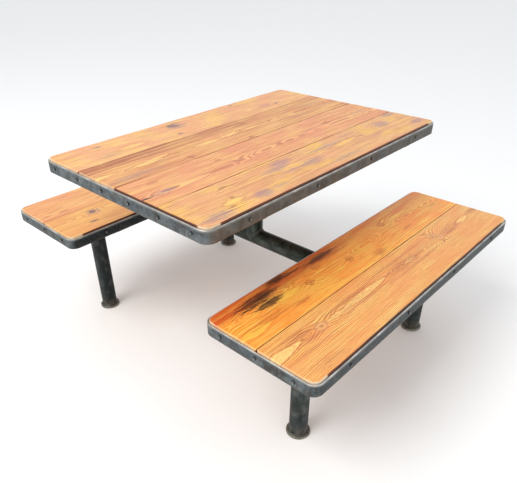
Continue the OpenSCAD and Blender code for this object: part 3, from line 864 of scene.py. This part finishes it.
domeShape = {"diameter": 11 * mm, "height": 4 * mm, "lip": 0.8 * mm, "shank": 5 * mm, "length": 44 * mm,
             "around": 28}


def domeSurface(shape):
    # a domed head with a short upright lip, and its shank below: the dome is a flattened half ellipse
    bend = np.linspace(0, math.pi / 2, 8)
    radius, height = shape["diameter"] / 2, shape["height"] - shape["lip"]
    r = np.concatenate([radius * np.sin(bend), [radius, shape["shank"] / 2, shape["shank"] / 2, 0]])
    h = np.concatenate([shape["lip"] + height * np.cos(bend), [0, 0, -shape["length"], -shape["length"]]])
    return turnedSurface(r, h, shape["around"])


def makeRimScrews(node, rimNode):
    # a screw wherever the node's heads stand out past the rim
    low, high = nodeCorners(rimNode)
    points = nodePoints(node)
    z = (low[2] + high[2]) / 2
    places, directions = [], []
    for axis in (0, 1):
        for sign, face in ((-1, low[axis]), (1, high[axis])):
            heads = points[(points[:, axis] - face) * sign > headGap]
            for tangent in clusters(heads[:, 1 - axis]):
                place, direction = np.zeros(3), np.zeros(3)
                place[axis], place[1 - axis], place[2] = face, tangent, z
                direction[axis] = sign
                places.append(place)
                directions.append(direction)
    surface = domeSurface(domeShape)
    placed = placeOn(surface.reshape(-1, 3), places, directions)
    points, quads = copies(placed, gridQuads(*surface.shape[:2], closeColumns=True), len(places))
    height = np.tile(surface[..., 2].ravel(), len(places)) / domeShape["height"]
    fields = {"wear": 0.3 * smoothStep(0.75, 0.98, height), "dirt": 0.2 * (1 - smoothStep(0.0, 0.45, height))}
    return makePiece(node + "_domed", points, quads, agedZinc, [node], fields, 50)


makeRimScrews("table_rim_screws", "table_rim")
for side in ("left", "right"):
    makeRimScrews("bench_rim_screws_" + side, "bench_rim_" + side)

panShape = {"diameter": 11 * mm, "edge": 1.4 * mm, "recess": 2.4 * mm, "lobe": 0.45 * mm, "depth": 2.2 * mm,
            "shank": 5 * mm, "around": 72, "lobes": 6, "wear": 0.5, "dirt": 0.3}


def panSurface(shape, headHeight, shankLength):
    # a pan head with a lobed recess: the recess wall's radius rises and falls once for each lobe
    angle = np.linspace(0, turn, shape["around"], endpoint=False)
    radius = shape["diameter"] / 2
    lobed = shape["recess"] + shape["lobe"] * np.cos(shape["lobes"] * angle)
    edgeR, edgeH = roundEdge(radius, headHeight, shape["edge"], 1)
    rows = [(0 * angle, headHeight - shape["depth"]), (lobed * 0.95, headHeight - shape["depth"]),
            (lobed, headHeight - 0.1 * mm), (lobed + 0.15 * mm, headHeight)]
    rows += [(r + 0 * angle, h) for r, h in zip(edgeR[::-1], edgeH[::-1])]
    shank = shape["shank"] / 2
    rows += [(radius + 0 * angle, 0), (shank + 0 * angle, 0), (shank + 0 * angle, -shankLength),
             (0 * angle, -shankLength - shank)]
    return np.stack([np.stack([r * np.cos(angle), r * np.sin(angle), h + 0 * angle], -1) for r, h in rows])


def makeBoardScrews(node, bearerNode):
    # a screw wherever the node's heads hang below the bearers
    low, high = nodeCorners(node)
    underside = nodeCorners(bearerNode)[0][2]
    points = nodePoints(node)
    heads = points[points[:, 2] < underside - headGap]
    places = [(x, y, underside) for x in clusters(heads[:, 0]) for y in clusters(heads[:, 1])]
    headHeight = underside - low[2]
    surface = panSurface(panShape, headHeight, high[2] - underside - panShape["shank"] / 2)
    placed = placeOn(surface.reshape(-1, 3), places, [(0, 0, -1)] * len(places))
    points, quads = copies(placed, gridQuads(*surface.shape[:2], closeColumns=True), len(places))
    height = np.tile(surface[..., 2].ravel(), len(places))
    fields = {"wear": panShape["wear"] * smoothStep(0.6, 1, height / headHeight),
              "dirt": panShape["dirt"] + 0 * height}
    return makePiece(node + "_pan", points, quads, zincPlate, [node], fields, 40)


makeBoardScrews("table_board_screws", "table_bearer_middle")
for side in ("left", "right"):
    makeBoardScrews("bench_board_screws_" + side, f"bench_bearer_{side}_middle")

studShape = {"pitch": 1.75 * mm, "thread": 0.9 * mm, "chamfer": 1 * mm, "wear": 0.2}
studLow, studHigh = nodeCorners("head_studs")
studPoints = nodePoints("head_studs")
studPlaces = [(x, y) for x in clusters(studPoints[:, 0]) for y in clusters(studPoints[:, 1])]
studRadius = clusters(studPoints[:, 0])[0] - studLow[0]
nutLow, nutHigh = nodeCorners("head_nuts")
washerLow, washerHigh = nodeCorners("head_washers")


def threadSurface(radius, low, high, shape, around=40):
    # a stud whose radius falls and rises once each pitch, shifted round the turn so that it is a helix
    angle = np.linspace(0, turn, around, endpoint=False)
    rise = np.arange(low, high, shape["pitch"] / 8)
    height = np.concatenate([[low, low], rise, [high, high]])[:, None]
    phase = (height / shape["pitch"] - angle / turn) % 1
    depth = shape["thread"] * np.abs(2 * phase - 1)
    taper = np.maximum(0, shape["chamfer"] - (height - low))
    r = radius - np.maximum(depth, taper)
    r[0], r[-1] = 0, 0
    return np.stack([r * np.cos(angle), r * np.sin(angle), height + 0 * angle], -1)


def nutSurface(width, boreRadius, low, high, around=72):
    # a hexagon, half its width over the cosine of the angle from a flat's middle, whose corners are turned
    # off at both faces, with a chamfered bore
    angle = np.linspace(0, turn, around, endpoint=False)
    hexagon = width / 2 / np.cos((angle % (turn / 6)) - turn / 12)
    corner, mouth = 0.06 * width, 0.6 * mm
    face = np.minimum(hexagon, width / 2 * 1.01)
    bore = boreRadius + 0 * angle
    rows = [(bore + mouth, low), (face, low), (hexagon, low + corner), (hexagon, high - corner), (face, high),
            (bore + mouth, high), (bore, high - mouth), (bore, low + mouth)]
    return np.stack([np.stack([r * np.cos(angle), r * np.sin(angle), h + 0 * angle], -1) for r, h in rows])


def ringSurface(outer, inner, low, high, edge):
    # a flat washer: its section with rounded outer edges, turned
    bottomR, bottomH = roundEdge(outer, low, edge, -1, 3)
    topR, topH = roundEdge(outer, high, edge, 1, 3)
    r = np.concatenate([[inner], bottomR, topR, [inner]])
    return turnedSurface(r, np.concatenate([[low], bottomH, topH, [high]]), 48)


def makeHeadFasteners(name, node, surface, closeRows, dirt):
    # the same surface on each of the head plate's studs
    placed = np.array([surface.reshape(-1, 3) + (x, y, 0) for x, y in studPlaces])
    points, quads = copies(placed, gridQuads(*surface.shape[:2], closeRows, True), len(studPlaces))
    fields = {"wear": np.full(len(points), studShape["wear"]), "dirt": np.full(len(points), dirt)}
    return makePiece(name, points, quads, zincPlate, [node], fields, 25)


makeHeadFasteners("head_studs_threaded", "head_studs",
                  threadSurface(studRadius, studLow[2], studHigh[2], studShape), False, 0.3)
nutWidth = 2 * (clusters(nodePoints("head_nuts")[:, 0])[0] - nutLow[0]) * math.cos(math.pi / 6)
makeHeadFasteners("head_nuts_hexagon", "head_nuts",
                  nutSurface(nutWidth, studRadius, nutLow[2], nutHigh[2]), True, 0.3)
washerRadius = clusters(nodePoints("head_washers")[:, 0])[0] - washerLow[0]
washer = ringSurface(washerRadius, studRadius + 0.5 * mm, washerLow[2], washerHigh[2], 0.4 * mm)
makeHeadFasteners("head_washers_flat", "head_washers", washer, True, 0.2)
print("turned pieces made")


# flat bars, angle bars and the head plate
barShape = {"edge": 0.8 * mm, "root": 5 * mm, "toe": 2 * mm, "dirt": 0.25, "dirtSize": 70}


def barSurface(section, axis, start, end, steps=24):
    # a section, (points, 2) across the axis, carried straight from start to end, with one face over each end
    distance = np.linspace(start, end, steps)[:, None]
    points = np.empty((steps, len(section), 3))
    points[..., axis] = distance
    points[..., 1 - axis] = section[:, 0]
    points[..., 2] = section[:, 1]
    quads = [list(quad) for quad in gridQuads(steps, len(section), closeColumns=True)]
    ends = [list(range(len(section))), list(range((steps - 1) * len(section), steps * len(section)))]
    return points, quads + ends


def barSection(low, high, edge):
    # a rectangle from low to high with its corners rounded
    width, height = high[0] - low[0], high[1] - low[1]
    across, up = flatBarSection(width, height, edge)
    return np.stack([low[0] + across, low[1] + up], -1)


def barFields(points, seed):
    # patches of dirt
    x, y = points[..., 0] / mm, points[..., 1] / mm
    patches = mottle(x, y, seed, barShape["dirtSize"], barShape["dirtSize"])
    return {"dirt": np.clip(barShape["dirt"] * (1 + patches), 0, 1)}


def makeFlatBar(node, axis, seed, suffix="_bar"):
    # a flat bar that runs along axis and fills its node's box
    low, high = nodeCorners(node)
    section = barSection((low[1 - axis], low[2]), (high[1 - axis], high[2]), barShape["edge"])
    points, faces = barSurface(section, axis, low[axis], high[axis])
    fields = barFields(points, seed)
    return makePiece(node + suffix, points, faces, barSteel, [node], fields)


makeFlatBar("post_head_plate", 1, 70, "_flat")
for seed, place in enumerate(("front", "middle", "rear")):
    makeFlatBar("table_bearer_" + place, 0, 60 + seed)
    for side in ("left", "right"):
        makeFlatBar(f"bench_bearer_{side}_{place}", 0, 63 + seed)


def angleSection(low, high, thickness, side, arc=6):
    # an angle bar's section with its flat leg on top and its upright leg on the outer side: quarter circles
    # for the inner corner and the toes, drawn for the right side and mirrored for the left
    root, toe = barShape["root"], barShape["toe"]
    width, height = high[0] - low[0], high[1] - low[1]
    bend = np.linspace(0, math.pi / 2, arc)
    x = np.concatenate([[0, width, width], width - thickness + toe * (1 - np.cos(bend)),
                        width - thickness - root * (1 - np.cos(bend[::-1])), toe * (1 - np.sin(bend))])
    z = np.concatenate([[height, height, 0], toe * (1 - np.sin(bend)),
                        height - thickness - root * (1 - np.sin(bend[::-1])) + 0 * bend,
                        height - thickness + toe * (1 - np.cos(bend))])
    x = x if side > 0 else width - x
    return np.stack([low[0] + x, low[1] + z], -1)


spineThickness = nodeCorners("table_spine_left")[1][2] - nodeCorners("post_head_plate")[1][2]
for side, sign in (("left", -1), ("right", 1)):
    low, high = nodeCorners("table_spine_" + side)
    section = angleSection((low[0], low[2]), (high[0], high[2]), spineThickness, sign)
    points, faces = barSurface(section, 1, low[1], high[1], 40)
    makePiece(f"table_spine_{side}_angle", points, faces, barSteel,
              [f"table_spine_{side}"], barFields(points, 80 + sign))
print("bars made")


# weld beads
weldShape = {
    "tube": 6.5 * mm,             # sizes of the beads on the tubes, the feet, and the bars' edges and ends
    "foot": 4.5 * mm,
    "bar": 4 * mm,
    "barEnd": 3.2 * mm,
    "edgeInset": 4 * mm,          # how far a bar's beads stop short of its edges, and a bearer end's beads
    "endInset": 3 * mm,
    "ripple": 2.6 * mm,           # from one ripple to the next, and their height as a share of the bead
    "rippleHeight": 0.045,
    "around": 160,
    "section": 8,
    "wear": 0.04,
    "dirt": 0.08,
}


def filletBead(roots, first, second, size, seed, closed):
    # a weld bead along roots, between the surfaces that first and second run along: its face is the curve
    # (cos to the 2.3, sin to the 2.3), a little hollow, with ripples along the run, and its back is in the
    # corner. An open bead tapers to its ends
    run = np.linalg.norm(np.diff(roots, axis=0, append=roots[:1]), axis=1)
    distance = np.concatenate([[0], np.cumsum(run)[:-1]])[:, None] / mm
    bend = np.linspace(0, math.pi / 2, weldShape["section"])
    waves = turn * distance * mm / weldShape["ripple"] + 2.2 * np.cos(2 * bend)
    ripple = weldShape["rippleHeight"] * np.sin(waves)
    scale = size * (1 + ripple + 0.1 * drift(distance, seed, 60))
    if not closed:
        scale = scale * np.sqrt(np.clip(np.minimum(distance, distance[-1] - distance) / 4, 0.02, 1))
    face = (scale * np.cos(bend) ** 2.3)[..., None] * first[:, None] \
        + (scale * np.sin(bend) ** 2.3)[..., None] * second[:, None]
    back = -0.08 * size * (first + second)[:, None]
    points = roots[:, None] + np.concatenate([face, back], axis=1)
    quads = [list(quad) for quad in gridQuads(*points.shape[:2], closed, True)]
    if not closed:
        count, columns = points.shape[:2]
        quads += [list(range(columns)), list(range((count - 1) * columns, count * columns))]
    return points.reshape(-1, 3), quads


def makeWelds(name, beads):
    # some beads, each its points and faces, as one piece
    points, faces, used = [], [], 0
    for beadPoints, beadFaces in beads:
        faces += [[index + used for index in face] for face in beadFaces]
        used += len(beadPoints)
        points.append(beadPoints)
    points = np.concatenate(points)
    fields = {kind: np.full(len(points), weldShape[kind]) for kind in ("wear", "dirt")}
    return makePiece(name, points, faces, beamSteel, (), fields, 60)


def ringBead(centre, radius, up, seed, size):
    # round a tube that stands on a flat face: up is 1 for a face below the bead and -1 for one above it
    angle = np.linspace(0, turn, weldShape["around"], endpoint=False)
    outward = np.stack([np.cos(angle), np.sin(angle), 0 * angle], -1)
    upward = np.tile([0, 0, float(up)], (len(angle), 1))
    return filletBead(np.array(centre) + radius * outward, outward, upward, size, seed, True)


def saddleBead(start, along, across, radius, seed, size):
    # round a tube that is cut to fit another: one side of the bead runs along the cut tube, and the other
    # round the tube that it meets, square to its normal
    along, across = np.array(along, float), np.array(across, float)
    other = np.cross(along, across)
    angle = np.linspace(0, turn, weldShape["around"], endpoint=False)
    direction = np.cos(angle)[:, None] * across + np.sin(angle)[:, None] * other
    reach = saddleReach(angle, radius, radius + tubeShape["weldGap"])[:, None]
    roots = np.array(start) + radius * direction + reach * along
    normal = reach * along + radius * np.sin(angle)[:, None] * other
    normal /= np.linalg.norm(normal, axis=1, keepdims=True)
    away = direction - (direction * normal).sum(1, keepdims=True) * normal
    away /= np.linalg.norm(away, axis=1, keepdims=True)
    return filletBead(roots, away, np.tile(along, (len(angle), 1)), size, seed, True)


def lineBead(start, end, first, second, seed, size):
    # a straight open bead, with a point every millimetre
    share = np.linspace(0, 1, max(12, int(np.linalg.norm(np.subtract(end, start)) / mm)))[:, None]
    roots = np.array(start) + share * np.subtract(end, start)
    count = len(roots)
    return filletBead(roots, np.tile(np.array(first, float), (count, 1)),
                      np.tile(np.array(second, float), (count, 1)), size, seed, False)


tubeWeld = weldShape["tube"]
legLow, legHigh = nodeCorners("leg_left_front")
for (side, end), (x, y, z) in legCentres.items():
    seed = 200 + len(side) + 3 * len(end)  # differs from leg to leg
    foot = ringBead((x, y, legLow[2]), tubeRadius, 1, seed, weldShape["foot"])
    makeWelds(f"foot_{side}_{end}_weld", [foot])
    makeWelds(f"leg_{side}_{end}_weld", [ringBead((x, y, legHigh[2]), tubeRadius, -1, seed, tubeWeld)])
for side in ("left", "right"):
    front, rear = legCentres[side, "front"], legCentres[side, "rear"]
    makeWelds(f"rail_{side}_welds", [
        saddleBead((front[0], front[1], railHeight), (0, 1, 0), (0, 0, 1), tubeRadius, 220, tubeWeld),
        saddleBead((rear[0], rear[1], railHeight), (0, -1, 0), (0, 0, 1), tubeRadius, 221, tubeWeld)])
makeWelds("cross_beam_welds", [
    saddleBead((leftX, 0, railHeight), (1, 0, 0), (0, 1, 0), tubeRadius, 222, tubeWeld),
    saddleBead((rightX, 0, railHeight), (-1, 0, 0), (0, 1, 0), tubeRadius, 223, tubeWeld)])
makeWelds("centre_post_welds", [
    saddleBead((0, 0, railHeight), (0, 0, 1), (1, 0, 0), tubeRadius, 224, tubeWeld),
    ringBead((0, 0, postTop), tubeRadius, -1, 225, tubeWeld)])

places = ("front", "middle", "rear")
spineBeads = []
for side in ("left", "right"):
    low, high = nodeCorners("table_spine_" + side)
    for place in places:
        barLow, barHigh = nodeCorners("table_bearer_" + place)
        firstY, lastY = barLow[1] + weldShape["edgeInset"], barHigh[1] - weldShape["edgeInset"]
        for edge, sign in ((low[0], -1), (high[0], 1)):
            spineBeads.append(lineBead((edge, firstY, barLow[2]), (edge, lastY, barLow[2]), (sign, 0, 0),
                                       (0, 0, -1), 230 + len(spineBeads), weldShape["bar"]))
makeWelds("table_spine_welds", spineBeads)


def bearerBeads(bearerNodes):
    # along the underside joint between each bearer's ends and the rim's inner face, nearly flat
    beads = []
    for bearerNode in bearerNodes:
        low, high = nodeCorners(bearerNode)
        firstY, lastY = low[1] + weldShape["endInset"], high[1] - weldShape["endInset"]
        for edge, sign in ((low[0], 1), (high[0], -1)):
            beads.append(lineBead((edge, firstY, low[2]), (edge, lastY, low[2]), (sign, 0, -0.35),
                                  (-sign, 0, -0.35), 300 + len(beads), weldShape["barEnd"]))
    return beads


makeWelds("table_bearer_welds", bearerBeads([f"table_bearer_{place}" for place in places]))
for side in ("left", "right"):
    makeWelds(f"bench_bearer_welds_{side}", bearerBeads([f"bench_bearer_{side}_{place}" for place in places]))
print("welds made")


# distance in metres from the table's middle, angles in degrees, lens and sensor width in millimetres
view = {"distance": 1.994, "azimuth": 42.21, "elevation": 28.26, "tilt": 55.73, "roll": 0.87,
        "heading": 43.38, "lens": 35.99, "sensor": 36, "shift": (0.0323, 0.0933)}
studio = {"floor": "#F4F3F0", "floorSize": 160.0, "sky": "#F7FAFF", "skyStrength": 0.95, "key": 222.0,
          "keySize": 3.1, "keyPlace": (-0.4, -4.0, 5.0)}


def placeCamera(settings):
    # the camera stands at distance from the middle, by azimuth round it and elevation above it
    azimuth, elevation = math.radians(settings["azimuth"]), math.radians(settings["elevation"])
    away = np.array([math.sin(azimuth) * math.cos(elevation), -math.cos(azimuth) * math.cos(elevation),
                     math.sin(elevation)])
    camera = bpy.data.objects.new("camera", bpy.data.cameras.new("camera"))
    camera.location = np.array(middle) + settings["distance"] * away
    camera.rotation_euler = [math.radians(settings[key]) for key in ("tilt", "roll", "heading")]
    camera.data.lens = settings["lens"]
    camera.data.sensor_width = settings["sensor"]
    camera.data.shift_x, camera.data.shift_y = settings["shift"]
    bpy.context.scene.collection.objects.link(camera)
    bpy.context.scene.camera = camera


def placeLight(name, power, size, place, target):
    # a square soft light that faces the target
    light = bpy.data.objects.new(name, bpy.data.lights.new(name, "AREA"))
    light.data.energy, light.data.size = power, size
    light.location = place
    away = light.location - target
    light.rotation_euler = away.to_track_quat("Z", "Y").to_euler()
    bpy.context.scene.collection.objects.link(light)


def placeFloor(settings):
    # one wide flat face at the ground
    half = settings["floorSize"] / 2
    mesh = bpy.data.meshes.new("floor")
    corners = [(-half, -half, 0), (half, -half, 0), (half, half, 0), (-half, half, 0)]
    mesh.from_pydata(corners, [], [(0, 1, 2, 3)])
    # matt floor paint, rolled on: no sheen to speak of
    paint = {"Base Color": toLinear(settings["floor"]), "Roughness": 0.9}
    mesh.materials.append(startMaterial("matt_painted_floor", **paint)[0])
    floor = bpy.data.objects.new("floor", mesh)
    bpy.context.scene.collection.objects.link(floor)


placeCamera(view)
placeFloor(studio)
placeLight("key_light", studio["key"], studio["keySize"], studio["keyPlace"], middle)
world = bpy.data.worlds.new("soft_sky")
world.use_nodes = True
sky = world.node_tree.nodes["Background"]
sky.inputs["Color"].default_value = toLinear(studio["sky"])
sky.inputs["Strength"].default_value = studio["skyStrength"]
bpy.context.scene.world = world
bpy.context.scene.view_settings.view_transform = "Standard"

print("scene ready")
